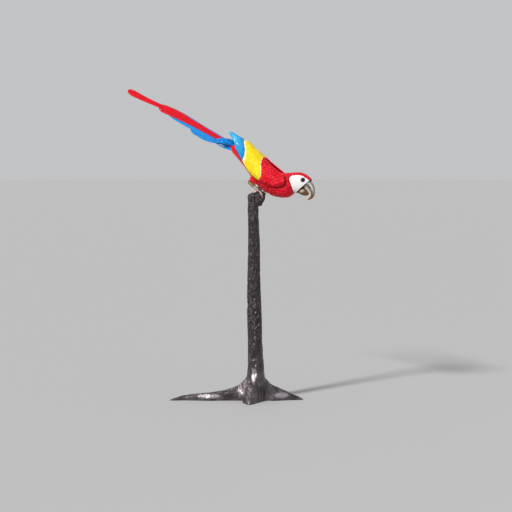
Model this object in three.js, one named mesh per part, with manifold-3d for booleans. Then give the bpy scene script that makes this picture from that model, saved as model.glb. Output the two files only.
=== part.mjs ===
// A painted cast-metal macaw, life size, leaning down from the top of a bark-covered post with roots.
// Millimetres, +Z up. The bird looks along +X and its right side faces -Y. The origin is on the floor,
// under the post.
import * as THREE from 'three';
import { mergeVertices } from 'three/addons/utils/BufferGeometryUtils.js';
import Module from 'manifold-3d';

const wasm = await Module();
wasm.setup();

// Driving dimensions
const GAP = 0.3; // joint line between neighbouring castings
const POST_TOP = 866; // height of the sawn post
const COLLAR_RADIUS = 58; // where each root joins the post
const WING_THICKNESS = 5;
const WING_BORDERS = { blueToYellow: -40, yellowToRed: 42 }; // X of the colour changes across the wing
const EYE = { x: 211.3, y: 18.9, z: 918.2, radius: 10.5 };
const FACE = { x: 213.5, z: 892.2, lean: 48.8 }; // the sloping plane that the bill grows from
const FOOT = { x: 18.5, y: 17, z: 871.5 };

// The tail is a fan of long feathers in layers, arched, and rolled so that it faces the bird's right side.
const TAIL = {
  spine: [[-104, 1066], [-192, 1113], [-338, 1191], [-462, 1244], [-578.5, 1297]],
  roll: 36.5,
  archRadius: { left: 110, right: 60 },
  thickness: 2.8,
  layerGap: 1.1,
};

const PAINT = {
  red: { color: '#d8162f', roughness: 0.3, metalness: 0 },
  yellow: { color: '#f7dc12', roughness: 0.3, metalness: 0 },
  skyBlue: { color: '#2aa3e6', roughness: 0.3, metalness: 0 },
  blue: { color: '#0d6fd0', roughness: 0.3, metalness: 0 },
  eye: { color: '#0c0a0e', roughness: 0.08, metalness: 0 },
  billSteel: { color: '#8f8c86', roughness: 0.3, metalness: 1 },
  billBrass: { color: '#b08a4a', roughness: 0.3, metalness: 1 },
  legBronze: { color: '#a07c58', roughness: 0.35, metalness: 1 },
  bark: { color: '#2c2427', roughness: 0.45, metalness: 0.8 },
};

const SIDES = { right: -1, left: 1 };
const point = (x, y, z) => new THREE.Vector3(x, y, z);
const RIGHTWARD = point(0, -1, 0);
const radians = THREE.MathUtils.degToRad;
const mix = THREE.MathUtils.lerp;

// --- Solids ---

function solidOf(geometry) {
  geometry.deleteAttribute('normal');
  geometry.deleteAttribute('uv');
  const merged = mergeVertices(geometry);
  return new wasm.Manifold(new wasm.Mesh({
    numProp: 3,
    vertProperties: new Float32Array(merged.attributes.position.array),
    triVerts: new Uint32Array(merged.index.array),
  }));
}

function geometryOf(solid) {
  const mesh = solid.getMesh();
  const geometry = new THREE.BufferGeometry();
  geometry.setAttribute('position', new THREE.BufferAttribute(new Float32Array(mesh.vertProperties), 3));
  geometry.setIndex(new THREE.BufferAttribute(new Uint32Array(mesh.triVerts), 1));
  return geometry;
}

const bySize = (solid) => solid.decompose().sort((a, b) => b.volume() - a.volume());
const largest = (solid) => bySize(solid)[0]; // without the slivers that a cut leaves
const joined = (...solids) => solids.reduce((whole, next) => whole.add(next));
const without = (solid, ...others) => others.reduce((rest, next) => rest.subtract(next), solid);

// A box from its lowest to its highest corner.
function block(low, high) {
  const size = high.map((value, i) => value - low[i]);
  const middle = high.map((value, i) => (value + low[i]) / 2);
  return solidOf(new THREE.BoxGeometry(...size).translate(...middle));
}

// A ball stretched along a curved spine. A station is [x, y, z, side, up, down]: a point of the spine and
// the half sizes of the section there, of which up and down may be left out. The shares of the length in
// caps are rounded.
function blob(stations, options = {}) {
  const { grow = 0, around = 14, along = 10, caps = [0.15, 0.15], sideways = RIGHTWARD, relief } = options;
  const spine = new THREE.CatmullRomCurve3(stations.map(([x, y, z]) => point(x, y, z)));
  const sizes = new THREE.CatmullRomCurve3(
    stations.map(([, , , side, up = side, down = up]) => point(side, up, down)));
  const ball = new THREE.SphereGeometry(1, around, along);
  const position = ball.attributes.position;
  const rounded = (share) => Math.sqrt(Math.max(0, 1 - (1 - Math.min(1, share)) ** 2));
  for (let i = 0; i < position.count; i += 1) {
    const t = (1 - position.getY(i)) / 2;
    const angle = Math.atan2(-position.getZ(i), position.getX(i));
    const cap = Math.min(rounded(t / caps[0]), rounded((1 - t) / caps[1]));
    const size = sizes.getPoint(t).addScalar(grow).multiplyScalar(cap * (relief ? relief(angle, t) : 1));
    const tangent = spine.getTangent(t);
    const up = sideways.clone().cross(tangent).normalize();
    const at = spine.getPoint(t).addScaledVector(tangent, grow * (t < 0.5 ? cap - 1 : 1 - cap));
    at.addScaledVector(sideways, size.x * Math.cos(angle));
    at.addScaledVector(up, Math.sin(angle) * (Math.sin(angle) > 0 ? size.y : size.z));
    position.setXYZ(i, at.x, at.y, at.z);
  }
  return solidOf(ball);
}

// Makes a round section squarer, all round or only in its lower half.
const squared = (power) => (angle) => (
  (Math.abs(Math.cos(angle)) ** power + Math.abs(Math.sin(angle)) ** power) ** (-1 / power));
const squaredBelow = (power) => (angle) => (Math.sin(angle) < 0 ? squared(power)(angle) : 1);

// A thin plate: place(along 0..1, across -1..1, height 0..1) says where each of its points goes.
function plate(alongSteps, acrossSteps, place) {
  const sheet = new THREE.BoxGeometry(1, 2, 1, alongSteps, acrossSteps, 1);
  const position = sheet.attributes.position;
  for (let i = 0; i < position.count; i += 1) {
    const at = place(position.getX(i) + 0.5, position.getY(i), position.getZ(i) + 0.5);
    position.setXYZ(i, at.x, at.y, at.z);
  }
  return solidOf(sheet);
}

// --- Head, neck and body: one casting, parted by thin cuts ---

const bodyForm = (grow = 0) => blob([
  [-112, 0, 1060, 12, 13, 17],
  [-62, 0, 1036, 32, 30, 31],
  [-22, 0, 998, 44, 43, 33.5],
  [20, 0, 957, 52, 47, 44],
  [62, 0, 924, 54, 44, 53],
  [100, 0, 902, 52, 44, 54],
  [140, 0, 889, 45, 44, 44],
  [176, 0, 884, 34, 34, 30],
], { grow, around: 18, along: 14, caps: [0.1, 0.13] });

const headForm = (grow = 0) => blob([
  [92, 0, 917, 34, 34, 34],
  [130, 0, 910, 38, 36, 44],
  [162, 0, 908, 34, 40, 41],
  [186, 0, 905, 31, 45, 39],
  [204, 0, 899, 27, 44, 40],
  [217, 0, 889, 21, 40, 36],
  [226, 0, 880, 18, 34, 30],
], { grow, around: 18, along: 12, caps: [0.12, 0.12], relief: squared(2.4) });

function eyeball(side, grow = 0) {
  const ball = new THREE.SphereGeometry(EYE.radius + grow, 12, 8);
  return solidOf(ball.translate(EYE.x, side * EYE.y, EYE.z));
}

// A thin slab across the body, leaning by some degrees.
function crossCut(x, z, lean) {
  const slab = new THREE.BoxGeometry(GAP, 260, 400);
  return solidOf(slab.rotateY(radians(lean)).translate(x, 0, z));
}

// Everything in front of the face, where the bill sits: the face slopes back from the forehead to the chin.
function beforeFace(gap = 0) {
  const room = new THREE.BoxGeometry(200, 200, 200).translate(100 + gap, 0, 0);
  return solidOf(room.rotateY(radians(FACE.lean)).translate(FACE.x, 0, FACE.z));
}

function bodyParts() {
  const sockets = Object.values(SIDES).map((side) => eyeball(side, GAP));
  const casting = without(joined(bodyForm(), headForm()), beforeFace(), ...sockets);
  const pieces = bySize(without(casting, crossCut(160, 905, -6), crossCut(128, 905, 14))).slice(0, 3);
  const [torso, neck, head] = pieces.sort((a, b) => a.boundingBox().min[0] - b.boundingBox().min[0]);
  return { torso, neck, head };
}

// --- Bill ---

const upperBill = (grow = 0) => blob([
  [208, 0, 914, 17, 15, 18],
  [227, 0, 901, 18.5, 20, 16],
  [240.5, 0, 885, 16, 16, 14],
  [246.5, 0, 868, 11.5, 11, 12],
  [242, 0, 852, 7.5, 9.5, 9.5],
  [230, 0, 842.5, 4.5, 5, 5],
  [217, 0, 838.5, 1.5, 1.5, 1.5],
], { grow, around: 12, along: 14, caps: [0.08, 0.05], relief: squared(1.8) });

const lowerBill = () => blob([
  [182, 0, 886, 13, 13, 13],
  [200, 0, 875, 16.5, 16, 16],
  [216, 0, 867, 14, 13, 13.5],
  [225, 0, 863, 9.5, 9, 8.5],
  [231, 0, 866, 4, 4, 4],
], { around: 10, along: 8, caps: [0.12, 0.12] });

// --- Wings: shells that lie on the body and end in blades over the tail ---

const wingHull = (grow = 0) => blob([
  [-116, 0, 1118, 10, 5, 14],
  [-90, 0, 1090, 24, 16, 34],
  [-56, 0, 1048, 38, 40, 42],
  [-22, 0, 1003, 50, 49, 50],
  [20, 0, 962, 59, 54, 58],
  [64, 0, 935, 61, 47, 60],
  [104, 0, 911, 59, 45, 54],
  [140, 0, 905, 53, 45, 46],
  [170, 0, 900, 46, 44, 34],
], { grow, around: 18, along: 15, caps: [0.06, 0.12], relief: squaredBelow(2.5) });

// The wings as seen from the side. Their neighbours are cut along an edge that lies a little further out.
function wingOutline(grow = 0) {
  const outline = new THREE.Shape();
  outline.moveTo(-120, 1122);
  outline.splineThru([
    [-91, 1085], [-81, 1062], [-75, 1045], [-57, 1022], [-43, 1000], [-23, 967], [-1, 940], [30, 919],
    [72, 897], [94, 892], [116, 890.5], [132.5, 894], [142, 902.5], [145, 913], [140.5, 925.5], [131, 940],
    [107, 966],
  ].map(([x, z]) => new THREE.Vector2(x, z)));
  outline.lineTo(60, 1060);
  outline.lineTo(-60, 1140);
  const prism = new THREE.ExtrudeGeometry(outline, { depth: 200, bevelEnabled: false, curveSegments: 2 });
  return solidOf(prism.rotateX(Math.PI / 2).translate(-grow, 100, -1.5 * grow));
}

const wingRoom = wingHull(GAP).intersect(wingOutline(GAP));

// The mantle shows between the wings, and is widest at the neck.
function mantleWedge() {
  const wedge = new THREE.Shape();
  wedge.moveTo(8, 0);
  wedge.lineTo(150, -40);
  wedge.lineTo(150, 40);
  const prism = new THREE.ExtrudeGeometry(wedge, { depth: 240, bevelEnabled: false });
  return solidOf(prism.translate(0, 0, 930));
}

function wingParts(side) {
  const half = new THREE.BoxGeometry(600, 200, 600).translate(0, side * (100 + GAP / 2), 1000);
  const room = wingHull().intersect(wingOutline()).intersect(solidOf(half));
  const shell = without(room, bodyForm(GAP), headForm(GAP), wingHull(-WING_THICKNESS), mantleWedge());
  const band = (low, high) => largest(shell.intersect(block([low, -200, 800], [high, 200, 1200])));
  return {
    flight: band(-200, WING_BORDERS.blueToYellow - GAP / 2),
    greater_coverts: band(WING_BORDERS.blueToYellow + GAP / 2, WING_BORDERS.yellowToRed - GAP / 2),
    lesser_coverts: band(WING_BORDERS.yellowToRed + GAP / 2, 300),
  };
}

// --- Tail: feathers in layers over the arched, rolled surface of the fan ---

const tailSpine = new THREE.CatmullRomCurve3(TAIL.spine.map(([x, z]) => point(x, 0, z)));
const tailLength = tailSpine.getLength();

function onTail(along, across, height) {
  const share = Math.max(0, Math.min(1, along / tailLength));
  const tangent = tailSpine.getTangentAt(share);
  const up = RIGHTWARD.clone().cross(tangent).negate().applyAxisAngle(tangent, radians(-TAIL.roll));
  const right = up.clone().cross(tangent);
  const arch = TAIL.archRadius[across < 0 ? 'left' : 'right'];
  const angle = across / arch;
  const radius = arch + height;
  return tailSpine.getPointAt(share)
    .addScaledVector(tangent, along - share * tailLength)
    .addScaledVector(right, radius * Math.sin(angle))
    .addScaledVector(up, radius * Math.cos(angle) - arch);
}

// Each feather's layer, how much of it lies before the fan's start, its length, and the distances of its
// left and right edges to the bird's right of the fan's middle, at five even steps or all along. The left
// half is folded closer.
const TAIL_FEATHERS = {
  middle: { layer: 0, length: tailLength, left: [-5, -6, -8, -9, -20], right: [12, 14, 15, 15.5, 18] },
  second_right: { layer: 1, length: 362, left: 0.2, right: [9, 16, 21.3, 26, 28] },
  second_left: { layer: 1, length: 362, left: [-7, -8.7, -9, -21.5, -21], right: -0.2 },
  third_right: { layer: 2, length: 311, left: 0.2, right: [10, 25, 35.5, 36.5, 31.5] },
  third_left: { layer: 2, length: 290, left: [-16, -21, -19, -24, -31], right: -0.2 },
  fourth_right: { layer: 3, length: 194, left: 0.2, right: [10, 26, 46, 50.5, 50.5] },
  fourth_left: { layer: 3, length: 194, left: [-8, -11, -13, -15, -15], right: -0.2 },
  outer_right: { layer: 1, before: 24, length: 90, left: [12, 19, 27.5, 30, 31], right: [25, 31, 35, 35, 34] },
  outer_left: { layer: 4, before: 10, length: 76, left: [-10, -12, -13, -14, -14], right: -4 },
};
const RED_FEATHERS = ['middle', 'second_right', 'second_left'];
const layerTop = (layer) => TAIL.thickness - layer * (TAIL.thickness + TAIL.layerGap);

// An edge, smooth through its five steps.
function edgeAt(edge, share) {
  return Array.isArray(edge)
    ? new THREE.SplineCurve(edge.map((across, i) => new THREE.Vector2(i, across))).getPoint(share).y
    : edge;
}

// A feather is a plate that is rounded off over its last stretch.
function tailFeather({ layer, before = 0, length, left, right }) {
  const tipShare = Math.min(0.35, 36 / length);
  return plate(7, 2, (a, across, high) => {
    const share = 1 - (1 - a) ** 1.5;
    const edges = [edgeAt(left, share), edgeAt(right, share)];
    const past = Math.max(0, (share - 1 + tipShare) / tipShare);
    const half = ((edges[1] - edges[0]) / 2) * Math.max(0.12, Math.sqrt(1 - past ** 2.2));
    const height = layerTop(layer) - (1 - high) * TAIL.thickness;
    return onTail(length * share - before, (edges[0] + edges[1]) / 2 + half * across, height);
  });
}

// A leaf over the root of the fan, slanting to the bird's right.
function upperCoverts() {
  return plate(5, 4, (a, across, high) => {
    const share = 1 - (1 - a) ** 1.5;
    const rounding = Math.max(0.2, Math.sqrt(1 - Math.max(0, (share - 0.55) / 0.45) ** 2.2));
    const over = mix(-9, 28, share ** 1.4) + across * mix(17, 15, share) * rounding;
    return onTail(mix(-30, 70, share), over, TAIL.thickness + mix(TAIL.layerGap, mix(9, 3.5, share), high));
  });
}

function underCoverts() {
  const top = layerTop(5);
  return plate(5, 3, (a, across, high) => {
    const share = 1 - (1 - a) ** 1.5;
    const rounding = Math.max(0.2, Math.sqrt(1 - Math.max(0, (share - 0.4) / 0.6) ** 2.2));
    return onTail(mix(-30, 80, share), 2 + across * 17 * rounding, mix(top - mix(7, 3, share), top, high));
  });
}

// --- Legs: feathered thigh, bare shank, four toes with claws ---

const footAt = (side) => point(FOOT.x, side * FOOT.y, FOOT.z);

function thighForm(side, grow = 0) {
  return blob([
    [-15, side * 26, 924, 9, 9, 9],
    [10, side * 30, 919, 16, 20, 18],
    [38, side * 30, 928, 19, 26, 28],
  ], { grow, around: 12, along: 8, caps: [0.3, 0.3] });
}

function shankForm(side, grow = 0) {
  return blob([
    [-15, side * 25, 918, 6.5, 6.5],
    [-17, side * 25, 907, 7.5, 7.5],
    [2, side * 21.5, 890, 6, 6],
    [16, side * FOOT.y, FOOT.z + 6, 7, 7],
    [21, side * FOOT.y, FOOT.z, 7, 6],
  ], { grow, around: 10, along: 9 });
}

// Each toe as steps from the foot: forwards, to its outer side and up. The last step is the claw's tip.
const TOES = {
  front_outer: [[4, 2, 0], [11, 5, -3], [18, 6, -16], [19, 3, -29]],
  front_inner: [[6, -5, 0], [14, -8, 1], [25, -9, -2], [33, -9, -13]],
  back_outer: [[-4, 2, 0], [-11, 3, 0], [-18, 3, -3], [-23, 2, -13]],
  back_inner: [[-6, -5, 0], [-13, -8, 0], [-21, -9, 0], [-31, -9, -4]],
};
const LEFT_REACH = 0.6; // the left foot's toes are drawn in, over the far edge of the fork

function alongToe(side, route) {
  const foot = footAt(side);
  const reach = side > 0 ? LEFT_REACH : 1;
  return route.map(([x, y, z]) => [foot.x + reach * x, foot.y + side * y, foot.z + z]);
}

function toeForm(side, route, grow = 0) {
  const [root, knuckle, end] = alongToe(side, route);
  return blob([[...root, 6, 5.5], [...knuckle, 5.2, 5], [...end, 4.6, 4.6]],
    { grow, around: 7, along: 6, caps: [0.15, 0.2] });
}

function clawForm(side, route) {
  const [, , end, tip] = alongToe(side, route);
  const middle = end.map((value, i) => mix(value, tip[i], 0.55));
  return blob([[...end, 3, 3], [...middle, 2.5, 2.5], [...tip, 0.9, 0.9]],
    { around: 6, along: 5, caps: [0.2, 0.1] });
}

// --- Post and roots ---

const barkRelief = (angle, t) => 1 + 0.05 * Math.sin(3 * angle + 9 * t)
  + 0.035 * Math.sin(5 * angle - 14 * t) + 0.03 * Math.sin(31 * t + 2 * angle);

const postForm = (grow = 0) => blob([
  [0, 0, -30, 49], [0, 0, 35, 48], [1, 0, 72, 44], [2, 0, 100, 37], [2, 1, 130, 31.8], [-1, -1, 240, 29.2],
  [-4.5, -2, 390, 27.8], [-7, -2, 520, 25], [-6, -2, 640, 23], [-9, -3, 760, 20.5], [-12, -3, 880, 19.5],
], { grow, around: 12, along: 20, caps: [0.01, 0.01], relief: barkRelief });

const forkForm = (grow = 0) => blob([
  [3, 0, 811, 10, 12], [14, 0, 828, 18, 18], [22, 1, 852, 19, 19], [28, 1, 880, 19, 18],
], { grow, around: 10, along: 7, caps: [0.2, 0.01], relief: barkRelief });

// Compass direction, and rows of distance from the post's middle, height of the ridge and half width.
const ROOTS = {
  long: { direction: 202.5, rows: [[20, 118, 30], [34, 102, 30], [48, 83, 29], [64, 66, 27], [95, 50, 24],
    [142, 37, 21], [182, 33, 19], [225, 30, 18], [262, 26, 16], [298, 20, 12], [332, 11, 8], [362, 3, 4]] },
  right: { direction: 20, rows: [[20, 120, 30], [36, 100, 30], [50, 80, 29], [64, 68, 28], [88, 56, 27],
    [112, 44, 26], [138, 31, 23], [168, 17, 17], [200, 6, 7]] },
  front: { direction: -85, rows: [[14, 124, 28], [32, 108, 31], [50, 88, 32], [68, 66, 32], [86, 46, 28],
    [106, 25, 17], [126, 6, 6]] },
  back_left: { direction: 140, rows: [[20, 112, 28], [42, 84, 26], [74, 54, 23], [110, 37, 18],
    [148, 21, 13], [182, 5, 6]] },
  back_right: { direction: 81, rows: [[20, 112, 28], [42, 82, 26], [70, 52, 23], [100, 35, 18],
    [134, 19, 13], [164, 5, 6]] },
};

const headingOf = ({ direction }) => point(Math.cos(radians(direction)), Math.sin(radians(direction)), 0);

// Half of a lying cone: its widest line rests on the floor.
function rootForm(root) {
  const heading = headingOf(root);
  const sideways = point(heading.y, -heading.x, 0);
  const relief = (angle, t) => 1 + 0.04 * Math.sin(5 * angle + 17 * t);
  return blob(root.rows.map(([distance, top, half], i) => {
    const at = heading.clone().multiplyScalar(distance).addScaledVector(sideways, -5 * Math.sin(1.3 * i));
    return [at.x, at.y, 0, half, top, 10];
  }), { around: 10, along: 11, caps: [0.02, 0.06], sideways, relief });
}

// The post and its fork are sawn off level, and the post's back slopes away.
function aboveSaw(grow = 0) {
  const slope = new THREE.BoxGeometry(200, 200, 80).translate(-100, 0, 40 + grow).rotateY(radians(-26));
  return joined(
    block([-200, -200, POST_TOP + grow], [200, 200, POST_TOP + 60]),
    solidOf(slope.translate(-5, 0, POST_TOP)));
}

const perch = without(joined(postForm(GAP), forkForm(GAP)), aboveSaw(GAP));

function postParts() {
  const belowFloor = block([-500, -500, -80], [500, 500, 0]);
  const collar = (radius) => solidOf(
    new THREE.CylinderGeometry(radius, radius, 1000, 32).rotateX(Math.PI / 2).translate(0, 0, 450));
  const stump = without(joined(postForm(), ...Object.values(ROOTS).map(rootForm)), belowFloor, aboveSaw());
  const parts = {
    post: largest(stump.intersect(collar(COLLAR_RADIUS - GAP / 2))),
    post_fork: largest(without(forkForm(), postForm(GAP), aboveSaw())),
  };
  const ends = bySize(without(stump, collar(COLLAR_RADIUS + GAP / 2)));
  Object.entries(ROOTS).forEach(([name, root]) => {
    const middleOf = ({ min, max }) => point(min[0] + max[0], min[1] + max[1], 0).normalize();
    parts[`root_${name}`] = ends.find((end) => headingOf(root).dot(middleOf(end.boundingBox())) > 0.9);
  });
  return parts;
}

// --- The whole statue ---

const statue = new THREE.Group();
statue.name = 'macaw_statue';

function addPart(name, solid, paint) {
  const mesh = new THREE.Mesh(geometryOf(solid), new THREE.MeshStandardMaterial(paint));
  mesh.name = name;
  statue.add(mesh);
}

Object.entries(postParts()).forEach(([name, solid]) => addPart(name, solid, PAINT.bark));
Object.entries(bodyParts()).forEach(([name, solid]) => addPart(name, solid, PAINT.red));
const billRoom = beforeFace(GAP);
addPart('bill_upper', largest(upperBill().intersect(billRoom)), PAINT.billSteel);
addPart('bill_lower', largest(without(lowerBill(), upperBill(1.5)).intersect(billRoom)), PAINT.billBrass);

const clearOfBody = (solid) => largest(without(solid, bodyForm(GAP), wingRoom));
addPart('tail_coverts_upper', clearOfBody(upperCoverts()), PAINT.blue);
addPart('tail_coverts_under', clearOfBody(underCoverts()), PAINT.blue);
Object.entries(TAIL_FEATHERS).forEach(([name, feather]) => {
  const paint = RED_FEATHERS.includes(name) ? PAINT.red : PAINT.blue;
  addPart(`tail_feather_${name}`, clearOfBody(tailFeather(feather)), paint);
});

const wingPaint = { flight: PAINT.skyBlue, greater_coverts: PAINT.yellow, lesser_coverts: PAINT.red };
Object.entries(SIDES).forEach(([sideName, side]) => {
  const body = bodyForm(GAP);
  const shank = shankForm(side, GAP);
  addPart(`eye_${sideName}`, eyeball(side), PAINT.eye);
  Object.entries(wingParts(side)).forEach(([name, solid]) => (
    addPart(`wing_${sideName}_${name}`, solid, wingPaint[name])));
  addPart(`thigh_${sideName}`, largest(without(thighForm(side), body, wingRoom)), PAINT.red);
  const shankSolid = largest(without(shankForm(side), thighForm(side, GAP), body));
  addPart(`shank_${sideName}`, shankSolid, PAINT.legBronze);
  const toesSoFar = [];
  Object.entries(TOES).forEach(([name, route]) => {
    const toe = without(toeForm(side, route), perch, body, shank, ...toesSoFar);
    const claw = without(clawForm(side, route), toeForm(side, route, GAP), perch, body);
    addPart(`toe_${sideName}_${name}`, largest(toe), PAINT.legBronze);
    addPart(`claw_${sideName}_${name}`, largest(claw), PAINT.legBronze);
    toesSoFar.push(toeForm(side, route, GAP));
  });
});

export default statue;
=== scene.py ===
# %% [markdown]
# # A painted bronze macaw on a bark post
# The real thing is a life-size garden statue: a scarlet macaw cast in bronze, painted with glossy enamel, that
# leans down from the top of a bronze post with bark and roots. Every surface here starts from the fixed solids
# of the CAD model. This script gives each of them the skin, the feathers and the finish that a founder and a
# painter would have given it.

# %% Load the fixed frame
import math
import random

import bmesh
import bpy
import numpy as np
from mathutils import Matrix, Vector, noise
from mathutils.bvhtree import BVHTree


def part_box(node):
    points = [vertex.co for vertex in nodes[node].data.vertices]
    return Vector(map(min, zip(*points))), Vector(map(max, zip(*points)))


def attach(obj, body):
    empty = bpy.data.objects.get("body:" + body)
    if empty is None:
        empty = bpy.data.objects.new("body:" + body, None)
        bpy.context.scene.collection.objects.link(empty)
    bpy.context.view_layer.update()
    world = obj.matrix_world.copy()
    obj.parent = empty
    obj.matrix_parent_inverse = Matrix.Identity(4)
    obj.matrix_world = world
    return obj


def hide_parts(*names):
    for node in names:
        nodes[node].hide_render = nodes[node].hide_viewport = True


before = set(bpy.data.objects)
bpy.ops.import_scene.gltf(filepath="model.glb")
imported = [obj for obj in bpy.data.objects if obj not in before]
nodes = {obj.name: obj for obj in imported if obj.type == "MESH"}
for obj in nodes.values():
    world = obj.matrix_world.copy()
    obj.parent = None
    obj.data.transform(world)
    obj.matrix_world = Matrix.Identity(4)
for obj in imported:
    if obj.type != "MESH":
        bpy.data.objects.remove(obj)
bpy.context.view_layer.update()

MM = 0.001
SIDES = {"right": -1, "left": 1}
scene = bpy.context.scene

# %% [markdown]
# ## The studio
# A statue outdoors is lit by a low sun from one side. Here the sun is warm, a little soft, and comes from the
# front left. A plain pale room fills the shadows. Floor and room have one tone, so nothing draws the eye from
# the piece. One large weak lamp on the right gives the enamel and the metal a second reflection. The camera is
# a long lens, far away, so that the tail and the bill keep their true sizes.


# %% Floor and room
def mesh_from(bm, name):
    mesh = bpy.data.meshes.new(name)
    bm.to_mesh(mesh)
    bm.free()
    return mesh


def placed(name, data):
    """A new object of the data, in the scene."""
    made = bpy.data.objects.new(name, data)
    scene.collection.objects.link(made)
    return made


disc = bmesh.new()
bmesh.ops.create_circle(disc, cap_ends=True, segments=96, radius=60)
floor = placed("floor", mesh_from(disc, "floor"))
scene.world = bpy.data.worlds.new("studio")
scene.world.use_nodes = True
room = scene.world.node_tree.nodes["Background"].inputs
room["Color"].default_value = (0.97, 0.98, 1.0, 1.0)
room["Strength"].default_value = 0.56
scene.view_settings.view_transform = "Standard"
print("floor", [round(value, 1) for value in floor.dimensions])


# %% Lights
LIT_POINT = Vector((0.0, 0.0, 0.95))  # the bird's breast


def light(name, kind, place, power, colour, **settings):
    """A light at a place, turned to the bird."""
    data = bpy.data.lights.new(name, kind)
    data.energy = power
    data.color = colour
    for option, value in settings.items():
        setattr(data, option, value)
    lamp = placed(name, data)
    lamp.location = place
    lamp.rotation_euler = (LIT_POINT - Vector(place)).to_track_quat("-Z", "Y").to_euler()


light("sun", "SUN", (-2.0, -4.0, 4.3), 3.0, (1.0, 0.965, 0.9), angle=math.radians(8))
light("sky_side", "AREA", (3.2, -2.2, 2.4), 8, (0.9, 0.95, 1.0), size=2.0)
print("lights", [lamp.name for lamp in bpy.data.lights])

# %% Camera
CAMERA = {"turn": 20.0, "distance": 5.3, "height": 1.0, "pitch": 4.29, "lens": 90.0, "nudge": -0.022}
turn = math.radians(CAMERA["turn"])
camera = placed("camera", bpy.data.cameras.new("camera"))
camera.data.lens = CAMERA["lens"]
camera.data.sensor_width = 36.0
camera.location = (CAMERA["distance"] * math.sin(turn), -CAMERA["distance"] * math.cos(turn), CAMERA["height"])
camera.rotation_euler = (math.radians(90 - CAMERA["pitch"]), 0, turn + math.radians(CAMERA["nudge"]))
scene.camera = camera
print("camera", [round(value, 3) for value in camera.location])

# %% [markdown]
# ## Writing shaders as sums
# A shader is a chain of nodes, and most of them only add, multiply or compare. `Wire` stands for one output
# socket, so that such chains read as arithmetic. `Finish` is one material: its `node` method makes any node,
# sets its options first, and then its sockets.


# %% Wires
class Wire:
    """One output socket. Arithmetic on it adds Math nodes."""

    def __init__(self, finish, socket):
        self.finish = finish
        self.socket = socket

    def math(self, operation, *values):
        return self.finish.node("ShaderNodeMath", {"operation": operation}, dict(enumerate((self, *values))))

    def __add__(self, other):
        return self.math("ADD", other)

    __radd__ = __add__

    def __mul__(self, other):
        return self.math("MULTIPLY", other)

    __rmul__ = __mul__

    def __sub__(self, other):
        return self.math("SUBTRACT", other)

    def __rsub__(self, other):
        return self * -1.0 + other

    def largest(self, other):
        return self.math("MAXIMUM", other)

    def rise(self, low, high):
        """From 0 at low to 1 at high, smoothly."""
        sockets = {"Value": self, "From Min": low, "From Max": high}
        return self.finish.node("ShaderNodeMapRange", {"interpolation_type": "SMOOTHSTEP"}, sockets)


# %% Finishes
class Finish:
    """One material and its Principled shader."""

    def __init__(self, name, **sockets):
        self.material = bpy.data.materials.new(name)
        self.material.use_nodes = True
        self.tree = self.material.node_tree
        self.shader = self.tree.nodes["Principled BSDF"]
        self.set(**sockets)

    def node(self, kind, settings=None, sockets=None, output=0):
        made = self.tree.nodes.new(kind)
        for option, value in (settings or {}).items():
            if option == "stops":
                for place, colour in value[1:-1]:
                    made.color_ramp.elements.new(place)
                for element, (place, colour) in zip(made.color_ramp.elements, value):
                    element.position = place
                    element.color = colour
            else:
                setattr(made, option, value)
        for key, value in (sockets or {}).items():
            self.feed(made.inputs[key], value)
        return Wire(self, made.outputs[output])

    def feed(self, socket, value):
        if isinstance(value, Wire):
            self.tree.links.new(value.socket, socket)
        else:
            socket.default_value = value

    def set(self, **sockets):
        for name, value in sockets.items():
            self.feed(self.shader.inputs[name.replace("_", " ")], value)

    def mixed(self, share, first, second):
        """A colour between two colours."""
        options = {"data_type": "RGBA"}
        return self.node("ShaderNodeMix", options, {0: share, 6: first, 7: second}, output=2)

    def place(self):
        """The point of the surface, in metres."""
        return self.node("ShaderNodeTexCoord", output="Object")

    def parts(self, vector):
        """The three numbers of a vector."""
        split = self.node("ShaderNodeSeparateXYZ", sockets={0: vector})
        return [Wire(self, socket) for socket in split.socket.node.outputs]

    def cloud(self, vector, scale, detail=3.0, stretch=(1, 1, 1)):
        """Noise of a scale per metre, around 0.5."""
        turned = self.node("ShaderNodeMapping", sockets={"Vector": vector, "Scale": stretch})
        return self.node("ShaderNodeTexNoise", sockets={"Vector": turned, "Scale": scale, "Detail": detail})

    def attribute(self, name, output="Fac"):
        return self.node("ShaderNodeAttribute", {"attribute_name": name}, output=output)

    def bump(self, height, depth):
        """Relief of a depth in metres."""
        sockets = {"Height": height, "Distance": depth, "Strength": 1.0}
        self.set(Normal=self.node("ShaderNodeBump", sockets=sockets))


def paint(red, green, blue):
    """A linear colour from a painter's 0 to 255 values."""
    values = [v / 255 for v in (red, green, blue)]
    return (*[v / 12.92 if v < 0.04045 else ((v + 0.055) / 1.055) ** 2.4 for v in values], 1.0)


floor_finish = Finish("studio_floor", Base_Color=paint(180, 180, 182), Roughness=0.9)
floor.data.materials.append(floor_finish.material)
print("floor finish", floor_finish.material.name)

# %% [markdown]
# ## Glossy enamel
# Each colour on the bird is a thick enamel over cast metal. It is a little uneven: some feathers are lighter
# than their neighbours, rims are paler where the brush rubbed them, and dust dulls the gloss in patches. A
# highlight is painted as a pale streak along each feather's ridge, and shade is painted dark in the grooves.
# One function makes that finish for any colour. Every feather carries its own tone, and a `vane` map: how far
# along it a point is in metres, how far across, and its share of the length. The root of a feather lies in a
# groove, so painted shade darkens it.


# %% Enamel on skin and on feathers
BLACK = (0.0, 0.0, 0.0, 1.0)
BARB_WAVES = 6800  # radians per metre along a feather: a barb every 0.9 mm
BARB_SLANT = 7.0  # radians by which a barb's outer end lags behind its root


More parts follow.
